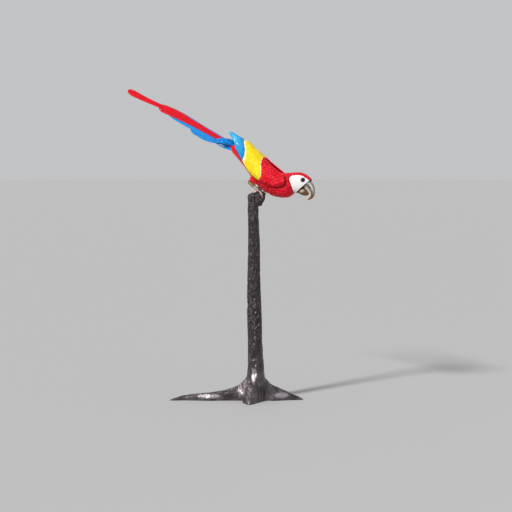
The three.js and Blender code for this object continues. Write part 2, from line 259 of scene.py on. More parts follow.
def enamel(name, colour, pale, edge=0.0, barbs=0.0, streak=0.0, root=0.0, dark=0.16):
    """Gloss paint. colour and pale are colours, or functions that mix them in the finish. edge is how pale a
    feather's rim is, streak how strong the highlight painted along its ridge is, root how much painted shade
    darkens its root, dark the colour's share left under that painted shade, and barbs the depth of its ribs."""
    finish = Finish(name, IOR=1.45, Specular_IOR_Level=0.12, Coat_Roughness=0.08)
    colour, pale = [value(finish) if callable(value) else value for value in (colour, pale)]
    place = finish.place()
    patches = finish.cloud(place, 38, 4)
    grain = finish.cloud(place, 420, 2)
    tone = finish.attribute("tone")
    along, across, share = finish.parts(finish.attribute("vane", "Vector"))
    flank = across.math("ABSOLUTE")
    rim = flank.rise(0.66, 1.0) * edge
    # painted highlight: a pale streak along each feather's ridge, strongest towards its tip
    ridge = (across + 0.15).math("ABSOLUTE").rise(0.5, 0.05) * share.rise(0.45, 0.8)
    ridge = ridge * tone.rise(0.3, 1.0) * streak
    shade = patches.rise(0.3, 0.75) * 0.45 + tone * 0.55
    body = finish.mixed(shade, finish.mixed(0.24, colour, BLACK), colour)
    # pale rubbed rims, the painted ridge highlight and the cream line of the pale attribute
    rubbed = finish.mixed(rim.largest(ridge).largest(finish.attribute("pale")), body, pale)
    # painted shade: each feather's root, and the shade attribute, darken the colour towards black as in a
    # groove
    sunk = (share.rise(0.68, 0.36) * root).largest(finish.attribute("shade"))
    finish.set(Base_Color=finish.mixed(sunk, rubbed, finish.mixed(1.0 - dark, colour, BLACK)))
    finish.set(Roughness=0.26 + 0.18 * patches + 0.06 * grain, Coat_Weight=0.05 + 0.25 * patches)
    ribs = (along * BARB_WAVES + flank * BARB_SLANT).math("SINE") * (1.0 - rim)
    finish.bump(grain * 0.25 + ribs * barbs, 0.0003)
    return finish


RED = paint(240, 8, 38)
RED_PALE = paint(250, 120, 140)
YELLOW = paint(253, 222, 0)
CREAM = paint(255, 250, 214)
SKY_BLUE = paint(0, 162, 236)
CYAN = paint(96, 208, 246)
BLUE = paint(0, 134, 220)
WHITE = paint(233, 231, 231)
SEAT_SHADE_UMBER = paint(46, 28, 28)
red_feathers = enamel("red_feathers", RED, RED_PALE, edge=0.1, barbs=0.2, streak=0.3, root=0.54)
blue_feathers = enamel("blue_feathers", BLUE, CYAN, edge=0.2, barbs=0.2, streak=0.1, root=0.3, dark=0.35)
tail_red = enamel("tail_red", paint(216, 4, 32), RED_PALE, edge=0.08, barbs=0.2)
tail_blue = enamel("tail_blue", BLUE, CYAN, edge=0.3, barbs=0.2)
print("enamel", len(red_feathers.tree.nodes), "nodes")

# %% [markdown]
# ## From coarse solids to smooth castings
# The CAD solids have flat facets, and thin joints between them. A founder's casting has neither. So copies of
# the solids are merged, swelled until the joints close, and rebuilt by a voxel remesh as one closed skin. Then
# the facets are eased away by a smooth modifier, whose small shrinkage the swelling makes up for.


# %% Showing a piece
def show(name, mesh, finish, replaced=()):
    """A finished piece that rides on the statue's one body."""
    piece = placed(name, mesh)
    mesh.shade_smooth()
    mesh.materials.append(finish.material)
    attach(piece, "root")
    if replaced:
        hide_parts(*replaced)
    return piece


# %% Castings
def with_modifiers(mesh, *modifiers):
    """The mesh that a row of modifiers makes, each given as its type and its settings."""
    holder = placed("holder", mesh)
    for kind, settings in modifiers:
        modifier = holder.modifiers.new(kind.lower(), kind)
        for option, value in settings.items():
            setattr(modifier, option, value)
    graph = bpy.context.evaluated_depsgraph_get()
    made = bpy.data.meshes.new_from_object(holder.evaluated_get(graph))
    bpy.data.objects.remove(holder)
    return made


def merged_copies(names, swell=0.0):
    """Copies of CAD nodes in one bmesh, each swelled along its normals."""
    bm = bmesh.new()
    for name in names:
        bm.from_mesh(nodes[name].data)
    bmesh.ops.remove_doubles(bm, verts=bm.verts, dist=1e-5)
    bm.normal_update()
    for vertex in bm.verts:
        vertex.co += vertex.normal * swell
    return bm


def casting(bm, voxel, rounds):
    """One smooth closed skin round all that the bmesh holds. voxel is the mesh's step in metres, and rounds how
    often the facets are eased."""
    made = with_modifiers(
        mesh_from(bm, "rough"),
        ("REMESH", {"mode": "VOXEL", "voxel_size": voxel}),
        ("SMOOTH", {"factor": 0.5, "iterations": rounds}))
    print("casting", len(made.vertices), "vertices")
    return made


# %% Surfaces and maps
def surface_of(mesh):
    """A tree for finding points of the mesh."""
    bm = bmesh.new()
    bm.from_mesh(mesh)
    tree = BVHTree.FromBMesh(bm)
    bm.free()
    return tree


def set_attribute(mesh, name, values):
    attribute = mesh.attributes.new(name, "FLOAT", "POINT")
    attribute.data.foreach_set("value", np.asarray(values, np.float32))


def set_vanes(mesh, vanes):
    """The map that the enamel reads: metres along a feather, how far across, and the share of its length."""
    mesh.attributes.new("vane", "FLOAT_VECTOR", "POINT").data.foreach_set("vector", np.ravel(vanes))


# %% [markdown]
# ## Head, neck and body
# The three castings are welded and painted as one, so they become one skin. Lids are rolled rims round the
# eyes: a small circle spun about each eye's axis, which is square to the cheek, fused into the head by the same
# remesh. The bare white face is only a colour border, kept as a signed distance on the points so that the edge
# stays crisp.

# %% The skin of the bird
FLESH = ["torso", "neck", "head", "thigh_right", "thigh_left"]
LID = {"radius": 8.9, "tube": 1.4, "out": 5.4}  # in millimetres, out from the eye's middle
eye_middle = {side: sum(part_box(f"eye_{side}"), Vector()) / 2 for side in SIDES}
eye_axis = {side: Vector((0.38, sign * 0.91, 0.19)).normalized() for side, sign in SIDES.items()}
flesh = merged_copies(FLESH, swell=0.9 * MM)
for side in SIDES:
    turned = Vector((0, 1, 0)).rotation_difference(eye_axis[side]).to_matrix().to_4x4()
    middle = eye_middle[side] + eye_axis[side] * LID["out"] * MM
    rim_place = Matrix.Translation(middle) @ turned @ Matrix.Translation((LID["radius"] * MM, 0, 0))
    ring = bmesh.ops.create_circle(flesh, segments=10, radius=LID["tube"] * MM, matrix=rim_place)
    edges = list({edge for vertex in ring["verts"] for edge in vertex.link_edges})
    bmesh.ops.spin(flesh, geom=ring["verts"] + edges, cent=middle, axis=eye_axis[side], angle=2 * math.pi,
                   steps=32, use_merge=True)
skin_mesh = casting(flesh, voxel=1.4 * MM, rounds=20)
skin_tree = surface_of(skin_mesh)

# %% The bare face
FACE = [(157.8, 922), (159.6, 930), (168.5, 936.7), (181.5, 938.4), (198.3, 938.8), (213, 934.3), (226, 925.8),
        (236, 918.3), (244.5, 914.7), (230, 904.4), (214.5, 895), (205.5, 887.6), (196.8, 879.6), (186, 866),
        (178, 862), (172, 869), (170, 886), (164.7, 904)]
HEAD_FROM = 0.14  # the least X of the head, in metres


def held(value, low=0.0, high=1.0):
    """The value, held between low and high."""
    return max(low, min(high, value))


def inside_outline(corners, x, z):
    """Signed distance in metres to an outline of [X, Z] in millimetres, above 0 inside."""
    inside, nearest = False, 1.0
    for (ax, az), (bx, bz) in zip(corners, corners[1:] + corners[:1]):
        ax, az, bx, bz = ax * MM, az * MM, bx * MM, bz * MM
        if (az > z) != (bz > z) and x < ax + (z - az) * (bx - ax) / (bz - az):
            inside = not inside
        edge = Vector((bx - ax, bz - az))
        offset = Vector((x - ax, z - az))
        share = held(offset.dot(edge) / edge.length_squared)
        nearest = min(nearest, (offset - share * edge).length)
    return nearest if inside else -nearest


def face_distance(point):
    """Signed distance in metres to the border of the bare face, above 0 on it."""
    return inside_outline(FACE, point.x, point.z) if point.x > HEAD_FROM else -1.0


face_values = [face_distance(vertex.co) / MM for vertex in skin_mesh.vertices]
set_attribute(skin_mesh, "face", face_values)
set_attribute(skin_mesh, "tone", [0.35] * len(skin_mesh.vertices))
print("bare face", sum(value > 0 for value in face_values), "points")

# %% [markdown]
# ## Wings
# A closed wing is a stiff fan over the flank: small coverts at the shoulder, long coverts over the middle, and
# flight feathers that end in blades over the tail. The cast shell under them gets the same three colours. Their
# borders run down the wing, so each is a curve that gives X for a height.

# %% The wings' shells
WING_NODES = ["flight", "greater_coverts", "lesser_coverts"]
BORDERS = {"blue": [(960, -52), (998, -42.6), (1004.7, -36.7), (1021.7, -31.2), (1042, -31.3), (1062.6, -37.4),
                    (1083, -46), (1110, -58)],
           "red": [(890, 22), (905, 28), (922, 37.6), (937, 45.7), (961, 46.7), (981, 41.2), (1015, 41),
                   (1060, 44)]}


def behind(name, point):
    """How far in millimetres a point lies behind a colour border of the wing."""
    heights, places = zip(*BORDERS[name])
    return float(np.interp(point.z / MM, heights, places)) - point.x / MM


def wing_colour(finish):
    """The three colours in their order, the blue deeper beside its border."""
    past_red, past_blue = finish.attribute("behind_red"), finish.attribute("behind_blue")
    blue = finish.mixed(past_blue.rise(4.0, 17.0), BLUE, SKY_BLUE)
    return finish.mixed(past_blue.rise(-0.4, 0.4), finish.mixed(past_red.rise(-0.4, 0.4), RED, YELLOW), blue)


def wing_pale(finish):
    """The pale tone of each of the three colours, for rubbed rims and the highlights painted on ridges."""
    past_red, past_blue = finish.attribute("behind_red"), finish.attribute("behind_blue")
    before_blue = finish.mixed(past_red.rise(-0.4, 0.4), RED_PALE, CREAM)
    return finish.mixed(past_blue.rise(-0.4, 0.4), before_blue, CYAN)


wing_skin = enamel("wing_skin", wing_colour, wing_pale, dark=0.3)
scale_feathers = enamel("scale_feathers", wing_colour, wing_pale,
                        edge=0.1, barbs=0.2, streak=0.35, root=0.6)
broad_feathers = enamel("broad_feathers", wing_colour, wing_pale,
                        edge=0.15, barbs=0.2, streak=0.2, root=0.25, dark=0.7)
flight_feathers = enamel("flight_feathers", wing_colour, wing_pale,
                         edge=0.95, barbs=0.25, streak=0.1, root=0.2)
wing_trees = {}
for side in SIDES:
    names = [f"wing_{side}_{part}" for part in WING_NODES]
    mesh = casting(merged_copies(names, swell=0.3 * MM), voxel=1.2 * MM, rounds=8)
    for name in BORDERS:
        set_attribute(mesh, f"behind_{name}", [behind(name, vertex.co) for vertex in mesh.vertices])
    set_attribute(mesh, "shade", [0.25] * len(mesh.vertices))
    set_attribute(mesh, "tone", [0.6] * len(mesh.vertices))
    wing_trees[side] = surface_of(mesh)
    show(f"wing_skin_{side}", mesh, wing_skin, names)

# %% [markdown]
# Where the wing meets the flank, shade is painted as a dark line: the skin and its feathers darken near the
# wing's shell. At the bill's seat the white face ends in a dark umber band of painted shade.

# %% The skin's colours
BILL_PLANE = (Vector((213.5, 0, 892.2)) * MM, Vector((0.659, 0, -0.752)))
SEAT_FROM = 0.15  # no point with a smaller X, in metres, is near the bill's seat
FAR_OFF = 99.0
WING_SHADE = {"dark": 0.9, "flank_from": 20, "flank_ease": 10, "full": 1.6, "fade": 6.5}  # lengths in millimetres


def before_bill(point):
    """Distance in metres from the cut where the bill sits, above 0 behind it."""
    return -(point - BILL_PLANE[0]).dot(BILL_PLANE[1])


def painted_wing_shade(point):
    """Painted shade on the flank beside a wing's shell, and 0 away from it and between the wings."""
    away = min(tree.find_nearest(point)[3] for tree in wing_trees.values())
    flank = held((abs(point.y) / MM - WING_SHADE["flank_from"]) / WING_SHADE["flank_ease"])
    return WING_SHADE["dark"] * (flank * held(WING_SHADE["full"] - away / (WING_SHADE["fade"] * MM)))


def from_eye(point):
    return min((point - middle).length for middle in eye_middle.values())


skin_points = [vertex.co for vertex in skin_mesh.vertices]
# painted shade on the flank beside the wings
set_attribute(skin_mesh, "shade", [painted_wing_shade(point) for point in skin_points])
seat_distances = [before_bill(point) / MM if point.x > SEAT_FROM else FAR_OFF for point in skin_points]
set_attribute(skin_mesh, "seat_distance", seat_distances)
set_attribute(skin_mesh, "lid", [from_eye(point) / MM for point in skin_points])
skin_finish = enamel("bird_skin", RED, RED_PALE)
cheek = skin_finish.mixed(skin_finish.attribute("lid").rise(12.2, 10.4), WHITE, paint(128, 108, 116))
painted = Wire(skin_finish, skin_finish.shader.inputs["Base Color"].links[0].from_socket)
# painted shade: a dark umber band in the crease where the bill sits
painted = skin_finish.mixed(skin_finish.attribute("seat_distance").rise(3.4, 2.2), painted, SEAT_SHADE_UMBER)
white = skin_finish.attribute("face").rise(-0.5, 0.5) * skin_finish.attribute("seat_distance").rise(1.4, 2.6)
skin_finish.set(Base_Color=skin_finish.mixed(white, painted, cheek))
show("body_skin", skin_mesh, skin_finish, FLESH)
print("skin", len(skin_mesh.polygons), "faces")

# %% [markdown]
# ## The eyes
# Glossy near-black enamel on a ball that bulges a little between the lids, with a faint brown iris ring.

# %% Eyeballs
IRIS_SPAN = 8.5 * MM  # from the pupil's middle to the outer edge of what the lids leave open
eye_finish = Finish("eye_gloss", Roughness=0.1, IOR=1.4, Coat_Weight=0.15, Coat_Roughness=0.02)
from_axis = eye_finish.attribute("iris")
ring_share = from_axis.rise(0.42, 0.52) * from_axis.rise(0.86, 0.74)
eye_finish.set(Base_Color=eye_finish.mixed(ring_share, paint(12, 5, 10), paint(40, 26, 32)))
for side in SIDES:
    low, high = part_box(f"eye_{side}")
    middle, radius = (low + high) / 2, (high.z - low.z) / 2
    ball = bmesh.new()
    bmesh.ops.create_uvsphere(ball, u_segments=40, v_segments=24, radius=radius,
                              matrix=Matrix.Translation(middle))
    mesh = mesh_from(ball, f"eyeball_{side}")
    away = [(vertex.co - middle).cross(eye_axis[side]).length for vertex in mesh.vertices]
    set_attribute(mesh, "iris", [value / IRIS_SPAN for value in away])
    show(f"eyeball_{side}", mesh, eye_finish, [f"eye_{side}"])
print("eyes", [tuple(round(value / MM) for value in middle) for middle in eye_middle.values()], "mm")

# %% [markdown]
# ## Feathers as shingles
# In a cast bird each feather is a low wedge: its root sinks into the skin, its tip stands about a millimetre
# proud and covers the next row's roots. So one small closed slab is made with operators, and every feather is
# that slab laid on the skin: row by row its middle walks over the surface, and its points drop onto it. All
# feathers of one kind are joined in one mesh, which is quick.


# %% A closed slab
def closed_slab(rows, columns):
    """A closed slab: X from 0 to 1 along its rows, Y from -1 to 1 across, and Z 0 below or 1 above."""
    slab = bmesh.new()
    bmesh.ops.create_grid(slab, x_segments=rows, y_segments=columns, size=1)
    bmesh.ops.solidify(slab, geom=slab.faces[:], thickness=1)
    bmesh.ops.recalc_face_normals(slab, faces=slab.faces)
    low = min(v.co.z for v in slab.verts)
    for vertex in slab.verts:
        vertex.co = ((vertex.co.x + 1) / 2, vertex.co.y, 1.0 if vertex.co.z > low + 0.5 else 0.0)
    return slab


# %% Laying vanes on a surface
VANE = {"root_width": 0.62, "widening": 1.1, "tip_width": 0.14, "roundness": 2.2,  # shares of the full width
        "root_lift": 0.12, "arch": 0.5,  # shares of the lift
        "sunk": 0.5 * MM, "plate": 0.4 * MM, "spread": 1.4}
UNWRAP = {"margin": 0.01, "span": 0.97, "along": 0.003, "across": 0.0015}  # in shares of the whole unwrap


class Coat:
    """Vanes laid on a surface and joined in one mesh."""

    def __init__(self, surface, rows, columns):
        self.surface, self.rows = surface, rows
        slab = closed_slab(rows, columns)
        self.corners = [(round(v.co.x * rows), v.co.y, v.co.z) for v in slab.verts]
        self.faces = np.array([[v.index for v in face.verts] for face in slab.faces])
        slab.free()
        self.points, self.vanes, self.patches = [], [], []
        self.values = {}

    def lay(self, start, aim, length, width, lift, patch, tip=0.4, tilt=0.0, values=None):
        """One vane from start. aim(point) is where it heads, patch its place on the skin's unwrap, tilt how
        much higher its left side lies, and values(point) what its points keep beside their tone."""
        centre, heading = start.copy(), aim(start)
        done, tone = 0.0, random.random()
        lines = []
        for row in range(self.rows + 1):
            share = 1 - (1 - row / self.rows) ** VANE["spread"]
            centre = centre + heading * (share - done) * length
            done = share
            centre, normal, _, _ = self.surface.find_nearest(centre)
            heading = aim(centre)
            heading = (heading - normal * heading.dot(normal)).normalized()
            half = width / 2 * min(1.0, VANE["root_width"] + VANE["widening"] * share)
            past = max(0.0, (share - 1 + tip) / tip)
            half *= max(VANE["tip_width"], math.sqrt(max(0.0, 1 - past ** VANE["roundness"])))
            lines.append((centre, normal.cross(heading), half, share))
        for row, across, high in self.corners:
            centre, sideways, half, share = lines[row]
            point, normal, _, _ = self.surface.find_nearest(centre + sideways * (across * half))
            crown = lift * (VANE["root_lift"] + (1 - VANE["root_lift"]) * share)
            crown = crown * (1 - VANE["arch"] * across * across) + tilt * across
            point = point + normal * (crown if high else min(-VANE["sunk"], crown - VANE["plate"]))
            self.points.append(point)
            for key, value in {"tone": tone, **(values(point) if values else {})}.items():
                self.values.setdefault(key, []).append(value)
            self.vanes.append((share * length, across, share))
            self.patches.append((patch[0] + UNWRAP["along"] * share, patch[1] + UNWRAP["across"] * across))

    def piece(self, name, finish, slot):
        """The joined mesh, shown."""
        vanes = len(self.points) // len(self.corners)
        faces = np.concatenate([self.faces + vane * len(self.corners) for vane in range(vanes)])
        mesh = bpy.data.meshes.new(name)
        mesh.from_pydata(self.points, [], faces.tolist())
        for key, values in self.values.items():
            set_attribute(mesh, key, values)
        set_vanes(mesh, self.vanes)
        unwrap = mesh.uv_layers.new(name="OFBake")
        unwrap.data.foreach_set("uv", np.array(self.patches)[faces.ravel()].ravel())
        print(name, vanes, "vanes,", len(faces) * 2, "triangles")
        return show(name, mesh, finish)


# %% Rows of roots
def row_of_roots(surface, centre, along, spacing, odd, reach=0.16, rays=200, gap=12 * MM):
    """Evenly spaced points where the plane across along cuts the surface, seen from outside, each with its
    normal and its share of the way round from the belly. Points more than a gap apart are in separate runs."""
    side = Vector((0, 1, 0))
    up = side.cross(along)
    runs, previous = [], None
    for ray in range(rays + 1):
        angle = 2 * math.pi * ray / rays - math.pi / 2
        out = side * math.cos(angle) + up * math.sin(angle)
        point, normal, _, _ = surface.ray_cast(centre + out * reach, -out, reach)
        if point is None:
            previous = None
            continue
        if previous is None or (point - previous).length > gap:
            runs.append([])
        runs[-1].append((point, normal, ray / rays))
        previous = point
    roots = []
    for run in runs:
        steps = [0.0]
        for (before, _, _), (after, _, _) in zip(run, run[1:]):
            steps.append(steps[-1] + (after - before).length)
        count = round(steps[-1] / spacing)
        for place in range(count):
            wanted = (place + (0.75 if odd else 0.25)) * steps[-1] / count
            roots.append(run[int(np.searchsorted(steps, wanted)) - 1])
    return roots


def along_line(line, distance, chord=14 * MM):
    """The point of a line of [X, Z] at a distance, and its heading over a chord to each side, both in the plane
    of the middle, and the line's length."""
    line = np.array(line) * MM
    steps = np.concatenate([[0], np.cumsum(np.linalg.norm(np.diff(line, axis=0), axis=1))])
    at = [Vector((np.interp(d, steps, line[:, 0]), 0, np.interp(d, steps, line[:, 1])))
          for d in (distance, distance - chord, distance + chord)]
    return at[0], (at[2] - at[1]).normalized(), steps[-1]


# %% [markdown]
# ## The red coat
# Body feathers lie from the bill towards the tail, smallest at the forehead and largest on the belly and back.
# Their rows are cuts across the bird's own middle line. None is laid on the bare face, on the cut where the
# bill sits, or where a wing covers it.

# %% Feathers of head, neck and body
random.seed(11)
MIDDLE_LINE = [(228, 874), (206, 893), (186, 903), (160, 906), (130, 905), (100, 902), (62, 924), (20, 957),
               (-22, 998), (-62, 1036), (-118, 1072)]


def under_wing(point, normal):
    """Whether a wing's shell covers a point of the body."""
    return any(tree.ray_cast(point + normal * 0.2 * MM, normal, 25 * MM)[0] for tree in wing_trees.values())


def drawn_back(surface, start, step, allowed, most=8):
    """A few steps back over the surface, to its edge or to that of a place that is not allowed, and how many
    they are. Where neither comes, the start and no steps."""
    point = start
    for taken in range(most):
        before, normal, _, _ = surface.find_nearest(point - step)
        if (before - point).length < 0.6 * step.length or not allowed(before, normal):
            return point, taken
        point = before
    return start, 0


FIRST_ROW = 2 * MM  # how far from the line's start
BACK_STEPS = 6  # steps to one exposed length, when a root is drawn back
OVERLAP = 1.75  # a vane's length for each exposed length: its tip covers the next row's roots


def lay_rows(coat, line, sizes, wanted, leaning=None, values=None, allowed=None):
    """Rows of vanes along a line. sizes gives distance along the line and exposed length, width and lift. A
    root near the edge of what is allowed is drawn back to that edge."""
    distance, odd = FIRST_ROW, False
    reaches, *columns = zip(*sizes)
    while True:
        exposed, width, lift = [np.interp(distance / MM, reaches, column) * MM for column in columns]
        centre, heading, total = along_line(line, distance)
        if distance > total:
            return
        across = leaning or heading
        for point, normal, turn_share in row_of_roots(coat.surface, centre, across, width, odd):
            if not wanted(point, normal):
                continue
            start, steps = drawn_back(coat.surface, point, across * exposed / BACK_STEPS, allowed or wanted)
            if not steps:
                start = point + across * random.uniform(-0.12, 0.12) * exposed
            patch = [UNWRAP["margin"] + UNWRAP["span"] * way for way in (turn_share, distance / total)]
            length = exposed * (OVERLAP + steps / BACK_STEPS) * random.uniform(0.93, 1.1)
            broad = width * random.uniform(1.15, 1.35)
            coat.lay(start, lambda _: across, length, broad, lift, patch, values=values)
        distance += exposed / max(0.5, across.dot(heading))
        odd = not odd


CHIN = {"below": 905, "before": 185}
SEAT = {"chin": 7.0, "brow": 4.0, "face": 0.6}  # widths that stay bare


def bare(point, normal):
    """The body's own coat stays off the face, the bill's seat and what the wings hide."""
    by_chin = point.z < CHIN["below"] * MM and point.x > CHIN["before"] * MM
    seat = before_bill(point) < SEAT["chin" if by_chin else "brow"] * MM
    return seat or face_distance(point) > -SEAT["face"] * MM or under_wing(point, normal)


body_coat = Coat(skin_tree, 4, 4)
BODY_SIZES = [(0, 4.2, 4.0, 0.5), (60, 5.5, 5.5, 0.7), (120, 9, 8, 1.0), (180, 12, 10, 1.2), (400, 13, 10, 1.2)]
lay_rows(body_coat, MIDDLE_LINE, BODY_SIZES, lambda point, normal: not bare(point, normal),
         values=lambda point: {"shade": painted_wing_shade(point)})
body_coat.piece("body_feathers", red_feathers, "enamel_red")

# %% [markdown]
# The bare cheek has a few lines of hair-thin feathers behind and below the eye: above the bill's middle they
# rise backwards, and below it they fall. They are the same vanes, only very small, and of a pink so pale that
# the lines show only from close by.

# %% Hair feathers of the face
HAIR_LINES = [(203, 905), (196, 899), (190, 908), (184, 897), (178, 906), (186, 917), (177, 890), (170, 899),
              (171, 914), (176, 925), (186, 928), (194, 889), (186, 884), (178, 878)]
HAIR = {"length": 2.4, "width": 1.0, "lift": 0.3, "count": 3, "step": 2.0, "up": 1.6, "down": -2.2,
        "level": 905, "margin": 3}
face_hairs = Coat(skin_tree, 2, 2)
hair_finish = enamel("face_hairs", paint(226, 200, 204), WHITE)
for x, z in HAIR_LINES:
    rise = HAIR["up" if z > HAIR["level"] else "down"]
    aim = Vector((-0.8, 0, -0.6 if z < HAIR["level"] else 0.6))
    for side, sign in SIDES.items():
        for step in range(HAIR["count"]):
            root = Vector((x - HAIR["step"] * step, sign * 60, z + rise * step)) * MM
            hit = skin_tree.ray_cast(root, Vector((0, -sign, 0)), 0.06)[0]
            if hit and face_distance(hit) > HAIR["margin"] * MM:
                patch = (0.2 + 0.6 * sign * hit.x, hit.z)
                face_hairs.lay(hit, lambda _: aim, HAIR["length"] * MM, HAIR["width"] * MM,
                               HAIR["lift"] * MM, patch)
face_hairs.piece("face_hairs", hair_finish, "enamel_red")

# %% [markdown]
# ## The coats of the wings
# On the wing, feathers lie steeper than the wing itself: their tips point up and a little back. Shoulder
# coverts are long narrow scales, the middle ones are broad and almost flush. The flight feathers are single
# long vanes: each starts under the coverts and runs to the wing's free edge, one side a little raised over the
# next, with a pale rubbed rim. The painter's colours do not care for single feathers: their borders cross them
# smoothly, and a cream line runs along the yellow, widest at its lower tip.

# %% Coverts
WING_LEAN = Vector((-0.38, 0, 0.925)).normalized()
WING_LINE = [(215, 862), (170, 900), (140, 905), (104, 911), (64, 935), (20, 962), (-22, 1003), (-56, 1048),
             (-90, 1090), (-116, 1118), (-150, 1160)]
SCALES = [(0, 10, 6.5, 0.8), (500, 13, 7.5, 0.9)]
BROAD = [(0, 20, 10.5, 0.55), (500, 20, 10.5, 0.55)]
SHORT = [(0, 13, 8, 0.6), (500, 13, 8, 0.6)]
BLUE_COVERTS = 14  # how far behind the blue border short coverts reach, in millimetres
CREAM_LINE = {"narrow": 4.5, "more": 7.0, "widens_at": 1012, "over": 14, "front": 2.4}  # in millimetres


def region(point):
    """Which coat of the wing a point belongs to."""
    if behind("red", point) < 0:
        return "red"
    past_blue = behind("blue", point)
    return "yellow" if past_blue < 0 else "sky" if past_blue < BLUE_COVERTS else "flight"


def wing_values(point):
    """Where a point lies by the borders, and its paleness in the cream line."""
    past_red, past_blue = behind("red", point), behind("blue", point)
    low = held((CREAM_LINE["widens_at"] - point.z / MM) / CREAM_LINE["over"])
    wide = CREAM_LINE["narrow"] + CREAM_LINE["more"] * low
    cream = 0.0
    if past_red > 0 > past_blue:
        cream = max(1.5 + past_blue / wide, 1.4 - past_red / CREAM_LINE["front"])
    return {"behind_red": past_red, "behind_blue": past_blue, "pale": held(cream, high=0.95)}


random.seed(17)
WING_COATS = {"red": (scale_feathers, SCALES, "enamel_red"),
              "yellow": (broad_feathers, BROAD, "enamel_yellow"),
              "sky": (broad_feathers, SHORT, "enamel_sky_blue")}
for side in SIDES:
    for colour, (finish, sizes, slot) in WING_COATS.items():
        coat = Coat(wing_trees[side], 8, 5)
        exposed = sizes[0][1] * MM

        def wanted(point, _):
            return region(point + WING_LEAN * 0.6 * exposed) == colour

        lay_rows(coat, WING_LINE, sizes, wanted, leaning=WING_LEAN, values=wing_values,
                 allowed=lambda *_: True)
        coat.piece(f"{colour}_coverts_{side}", finish, slot)

# %% Flight feathers
FLIGHT = {"count": 9, "width": 14.0, "lift": 0.9, "tilt": 0.7, "longest": 125.0, "shortest": 12, "end": 2.5}
FIRST_ROOT, LAST_ROOT = (-43, 1002), (-23, 1076)  # X and Z of the lowest and the highest feather


def free_length(surface, start, aim, step=2 * MM):
    """How far a vane can run from a point, along the surface, before it passes the wing's free edge."""
    point, heading, reach = start.copy(), aim, 0.0
    while reach < FLIGHT["longest"] * MM:
        ahead = point + heading * step
        nearest, normal, _, _ = surface.find_nearest(ahead)
        if (nearest - ahead).length > 1.0 * MM and (nearest - point).length < 1.2 * MM:
            break
        point, reach = nearest, reach + step
        heading = (aim - normal * aim.dot(normal)).normalized()
    return max(0.0, reach - FLIGHT["end"] * MM)


for side, sign in SIDES.items():
    coat = Coat(wing_trees[side], 12, 6)
    for place in range(FLIGHT["count"]):
        share = place / (FLIGHT["count"] - 1)
        x, z = [first + (last - first) * share for first, last in zip(FIRST_ROOT, LAST_ROOT)]
        root = Vector((x, sign * 90, z)) * MM
        hit = wing_trees[side].ray_cast(root, Vector((0, -sign, 0)), 0.09)[0]
        if hit is None:
            continue
        aim = Vector((-0.44 - 0.14 * share, 0, 0.9 - 0.05 * share)).normalized()
        length = free_length(wing_trees[side], hit, aim)
        if length > FLIGHT["shortest"] * MM:
            coat.lay(hit, lambda _: aim, length, FLIGHT["width"] * MM, FLIGHT["lift"] * MM,
                     (0.1 + 0.8 * share, 0.9), tip=0.5, tilt=-sign * FLIGHT["tilt"] * MM, values=wing_values)
    coat.piece(f"flight_feathers_{side}", flight_feathers, "enamel_sky_blue")

# %% [markdown]
# ## The tail
# A macaw's tail is a stack of long blades, the middle ones longest. Cast, each is one plate: thick along the
# shaft, thin at its edges, gently arched across, with a few splits in its edge. They lie layer by layer on an
# arched fan that follows the tail's curve, so a blade is a closed slab whose every point is placed on the fan.

# %% The surface of the fan
FAN = {"roll": 36.5, "left_radius": 110.0, "right_radius": 60.0, "thickness": 2.8, "gap": 1.1}
FAN_SPINE = np.array([(-104, 1066), (-192, 1113), (-338, 1191), (-462, 1244), (-578.5, 1297)])
fan_steps = np.concatenate([[0], np.cumsum(np.linalg.norm(np.diff(FAN_SPINE, axis=0), axis=1))])
fan_curves = [np.polyfit(fan_steps, FAN_SPINE[:, i], 4) for i in (0, 1)]


def on_fan(along, across, height):
    """A point of the fan, given in millimetres along its middle, to the bird's right, and above it."""
    kept = held(along, high=fan_steps[-1])
    x, z = [np.polyval(curve, kept) for curve in fan_curves]
    slope_x, slope_z = [np.polyval(np.polyder(curve), kept) for curve in fan_curves]
    tangent = Vector((slope_x, 0, slope_z)).normalized()
    up = Matrix.Rotation(math.radians(-FAN["roll"]), 3, tangent) @ Vector((tangent.z, 0, -tangent.x))
    arch = FAN["left_radius" if across < 0 else "right_radius"]
    turned, radius = across / arch, arch + height
    offset = up.cross(tangent) * (radius * math.sin(turned)) + up * (radius * math.cos(turned) - arch)
    return (Vector((x, 0, z)) + tangent * (along - kept) + offset) * MM


def eased(values, share):
    """A smooth curve through evenly spaced values, after Catmull and Rom."""
    place = share * (len(values) - 1)
    start = min(int(place), len(values) - 2)
    a, b, c, d = [values[held(start + i, 0, len(values) - 1)] for i in (-1, 0, 1, 2)]
    t = place - start
    return b + t * ((c - a) / 2 + t * (a - 2.5 * b + 2 * c - d / 2 + t * (1.5 * (b - c) + (d - a) / 2)))


print("middle of the fan's end", [round(value / MM) for value in on_fan(fan_steps[-1], 0.0, 0.0)], "mm")


